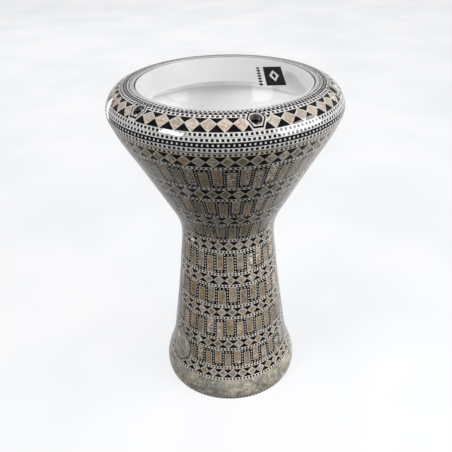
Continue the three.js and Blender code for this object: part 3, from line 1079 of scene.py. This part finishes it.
def collar_casting():
    """The hollow collar, with a boss and a stepped hole for each bolt."""
    outline = anticlockwise(soften(smooth_section("collar_ring"), 0.4 * MM, 3))
    low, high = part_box("collar_ring")
    cap, clearance, inset, beyond = 0.6 * MM, 0.3 * MM, 1.2 * MM, 5 * MM

    def crown(r, z):
        return int(z > high.z - cap)

    ring = turned("collar_body", outline, [cast_metal, collar_palette[RESIN]], crown)
    seat = bolt_boxes[0][1].z - BOLT_HEAD_HEIGHT - clearance
    boss_top, hole_top = seat + 3 * MM, seat + 1 * MM
    bosses = [upright_bar("boss", x, y, BOSS, low.z + inset, boss_top) for x, y in bolt_axes]
    cut(ring, bosses, "UNION")
    holes = [upright_bar("hole", x, y, RECESS, seat, high.z + beyond) for x, y in bolt_axes]
    holes += [upright_bar("hole", x, y, BOLT_HOLE, low.z - beyond, hole_top) for x, y in bolt_axes]
    cut(ring, holes, "DIFFERENCE")
    return ring


collar_body = collar_casting()
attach(collar_body, "collar")
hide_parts("collar_ring")


def socket_bolt(number):
    """A socket head screw: a smooth head with a chamfer, a hexagon socket and a plain shank."""
    low, high = bolt_boxes[number]
    x, y = bolt_axes[number]
    head = high.z - BOLT_HEAD_HEIGHT
    chamfer, under, shoulder = 0.5 * MM, 0.2 * MM, 0.175 * MM
    outline = [
        (0, low.z), (BOLT_SHANK - chamfer, low.z), (BOLT_SHANK, low.z + chamfer), (BOLT_SHANK, head),
        (BOLT_HEAD - under, head), (BOLT_HEAD, head + under), (BOLT_HEAD, high.z - chamfer),
        (BOLT_HEAD - shoulder, high.z - shoulder), (BOLT_HEAD - chamfer, high.z), (0, high.z),
    ]
    bolt = turned(f"bolt_{number + 1}_screw", outline, [bolt_steel], rounds=48)
    socket = upright_bar("socket", 0, 0, SOCKET, high.z - SOCKET_DEPTH, high.z + 2 * MM, 6)
    cut(bolt, [socket], "DIFFERENCE")
    for vertex in bolt.data.vertices:
        vertex.co += Vector((x, y, 0))
    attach(bolt, f"bolt_{number + 1}")
    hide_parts(f"tuning_bolt_{number + 1}")


for number in range(BOLTS):
    socket_bolt(number)


def drum_head():
    """The film, drawn down over the bearing edge and moulded to its hoop."""
    loop = anticlockwise([tuple(p) for p in section("drum_head")])
    start = loop.index(min((p for p in loop if p[0] < 1e-5), key=lambda p: p[1]))
    loop = loop[start:] + loop[:start]
    inner, outer = loop[0], loop[-1]
    bend, near_axis, flat, margin = 1.4 * MM, 5 * MM, 0.1 * MM, 3 * MM
    rim = [p for p in soften(loop, bend, 7) if p[0] > near_axis]
    reach = max(p[0] for p in rim if p[1] > inner[1] - flat)
    rings = np.arange(0.2, 1.0, 0.2) * (reach - margin)
    below = [(0, inner[1])] + [(r, inner[1]) for r in rings]
    above = [(r, outer[1]) for r in rings[::-1]] + [(0, outer[1])]
    head = turned("head_film", below + rim + above, [film])
    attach(head, "shell")
    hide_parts("drum_head")


drum_head()
for k in range(BOLTS):
    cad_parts[f"threaded_insert_{k + 1}"].data.materials[0] = plain_steel


def hoop():
    """The ring that holds the film's edge."""
    outline = anticlockwise(soften([tuple(p) for p in section("head_hoop")], 0.5 * MM, 4))
    ring = turned("hoop_ring", outline, [hoop_metal])
    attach(ring, "shell")
    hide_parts("head_hoop")


hoop()


# ---- The printed ornament -----------------------------------------------

def ornament():
    """A plain panel with a lozenge in it, and a row of lozenges beside it."""
    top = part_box("drum_head")[1].z + 0.02 * MM
    thick = 0.05 * MM
    work = bmesh.new()

    def plate(outline):
        above = [work.verts.new((x, y, top + thick)) for x, y in outline]
        below = [work.verts.new((x, y, top)) for x, y in outline]
        work.faces.new(above)
        work.faces.new(below[::-1])
        for k in range(len(outline)):
            j = (k + 1) % len(outline)
            work.faces.new((below[k], below[j], above[j], above[k]))

    def lozenge(x, y, wide, high):
        plate([(x - wide, y), (x, y - high), (x + wide, y), (x, y + high)])

    x, y = ORNAMENT_AT
    wide, high, open_wide, open_high = 11.5 * MM, 40 * MM, 6 * MM, 24 * MM
    for side in (-1, 1):
        far, start, end = x + side * wide, y - side * high, y + side * high
        plate([(x, start), (far, start), (far, end), (x, end), (x, y + side * open_high),
               (x + side * open_wide, y), (x, y - side * open_high)][::side])
    lozenge(x, y, 2.5 * MM, 14 * MM)
    aside, pitch = 18 * MM, 11.5 * MM
    for step in range(-3, 4):
        lozenge(x - aside, y + step * pitch, 3 * MM, 5 * MM)
    mark = finished("head_ornament", work, [ink], 20)
    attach(mark, "shell")


ornament()


# ---- Floor, light and camera --------------------------------------------

ALOFT = Vector((0, 0, 1))
PANE_DISTANCE = 2            # metres from the film to a window that shows in it


def floor():
    """A plain pale sweep, level under the drum and rising behind it."""
    work = bmesh.new()
    reach, depth, rise, bend, sunk = 6.0, 3.0, 4.0, 1.5, 0.5 * MM
    path = [(-reach, -sunk)]
    for a in np.linspace(0, math.pi / 2, 24):
        path.append((depth + bend * math.sin(a), bend * (1 - math.cos(a)) - sunk))
    path.append((depth + bend, rise))
    rows = [[work.verts.new((x, y, z)) for x in (-reach, reach)] for y, z in path]
    for here, there in zip(rows, rows[1:]):
        work.faces.new((here[0], here[1], there[1], there[0]))
    material, tree, shader, place = new_material(
        "studio_paper", Roughness=0.9, Specular_IOR_Level=0.0, Emission_Strength=0.95)
    tone = mottle(tree, place, 3, 2, (0.80, 0.81, 0.825), (0.86, 0.865, 0.875))
    tree.links.new(mix(tree, 1.0, tone, grey(0.12), "MULTIPLY"), shader.inputs["Base Color"])
    tree.links.new(tone, shader.inputs["Emission Color"])
    finished("studio_floor", work, [material], 60)


def softbox(name, place, size, power, aim=(0, 0, 0.25)):
    lamp = bpy.data.lights.new(name, "AREA")
    lamp.shape = "RECTANGLE"
    lamp.size, lamp.size_y = size
    lamp.energy = power
    holder = placed(name, lamp)
    holder.location = place
    holder.rotation_euler = (Vector(aim) - Vector(place)).to_track_quat("-Z", "Y").to_euler()


def mirrored(spot, normal):
    """The way light must come from to glint at a spot, seen from the camera."""
    view = (Vector(CAMERA_AT) - spot).normalized()
    return 2 * normal.dot(view) * normal - view


def glint(name, azimuth, fraction, distance, size, power):
    """A softbox whose reflection falls on the collar at an azimuth and a fraction of its width."""
    s = fraction * collar_outline.length
    east, south = math.sin(math.radians(azimuth)), -math.cos(math.radians(azimuth))
    pair = collar_outline.at(s), collar_outline.normal(s)
    spot, normal = (Vector((r * east, r * south, z)) for r, z in pair)
    softbox(name, spot + distance * mirrored(spot, normal), size, power, spot)


def window_in_film(name, at, size, power):
    """A small softbox that shows as a pale patch at a place on the level film."""
    spot = Vector((*at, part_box("drum_head")[1].z))
    softbox(name, spot + PANE_DISTANCE * mirrored(spot, ALOFT), size, power, spot)


def surroundings():
    """A white studio seen directly, and in reflections dark in front of the drum and bright behind."""
    world = bpy.data.worlds.new("studio")
    bpy.context.scene.world = world
    world.use_nodes = True
    tree = world.node_tree
    direction = add(tree, "ShaderNodeTexCoord").outputs["Generated"]
    parts = add(tree, "ShaderNodeSeparateXYZ", [("Vector", direction)])

    def shading(axis, stops):
        """Shades along an axis, from 0 right against it through 0.5 across it to 1 right along it."""
        share = add(tree, "ShaderNodeMapRange", [("Value", parts.outputs[axis])], From_Min=-1.0)
        return ramp(tree, share.outputs[0], stops)

    behind = shading("Y", [(0.45, (0.06, 0.06, 0.063)), (0.85, (0.60, 0.61, 0.63))])
    above = shading("Z", [(0.48, grey(1)), (0.62, (0.40, 0.40, 0.41))])
    aside = shading("X", [(0.5, grey(1)), (0.8, grey(1.5))])
    room = mix(tree, 1.0, mix(tree, 1.0, behind, above, "MULTIPLY"), aside, "MULTIPLY")
    soft = shading("Z", [(0.42, grey(0.08)), (0.60, (0.20, 0.20, 0.203)), (0.95, (0.55, 0.55, 0.555))])
    path = add(tree, "ShaderNodeLightPath")
    glow = mix(tree, path.outputs["Is Glossy Ray"], soft, room)
    seen = mix(tree, path.outputs["Is Camera Ray"], glow, (0.90, 0.91, 0.93))
    tree.links.new(seen, tree.nodes["Background"].inputs["Color"])


floor()
surroundings()
# Each softbox has its place, its size and its power in watts.
softbox("key_light", (1.7, -1.6, 2.2), (1.8, 1.6), 20)
softbox("fill_light", (-1.5, -1.7, 2.1), (1.8, 1.8), 6)
softbox("top_light", (0.0, 0.4, 2.8), (2.6, 2.0), 6)
softbox("back_light", (-0.5, 2.4, 1.5), (1.8, 1.6), 26)
for name in ("studio_floor", "key_light", "fill_light", "top_light", "back_light"):
    bpy.data.objects[name].visible_glossy = False
# Each glint has its azimuth and place on the collar, its distance, its size and its power.
glint("left_window", -23, 0.34, 1.6, (0.62, 0.36), 22)
glint("right_window", 33, 0.33, 1.6, (1.4, 0.9), 41)
glint("side_window", -72, 0.32, 1.1, (0.16, 0.5), 0.7)
for name in ("studio_floor", "side_window"):
    bpy.data.objects[name].visible_diffuse = False
window_in_film("left_pane", (-51 * MM, -73 * MM), (0.085, 0.07), 0.024)
window_in_film("right_pane", (41 * MM, -76 * MM), (0.09, 0.14), 0.06)

camera = bpy.data.cameras.new("camera")
camera.lens = CAMERA_LENS
camera.sensor_width = CAMERA_FRAME
eye = placed("camera", camera)
onward = math.cos(CAMERA_DOWN)
forward = Vector((math.sin(CAMERA_TURN) * onward, math.cos(CAMERA_TURN) * onward, -math.sin(CAMERA_DOWN)))
level = Vector((math.cos(CAMERA_TURN), -math.sin(CAMERA_TURN), 0))
upward = level.cross(forward)
right = math.cos(CAMERA_ROLL) * level + math.sin(CAMERA_ROLL) * upward
upright = -math.sin(CAMERA_ROLL) * level + math.cos(CAMERA_ROLL) * upward
eye.matrix_world = Matrix.Translation(CAMERA_AT) @ Matrix((right, upright, -forward)).transposed().to_4x4()
bpy.context.scene.camera = eye
bpy.context.scene.view_settings.view_transform = "Standard"
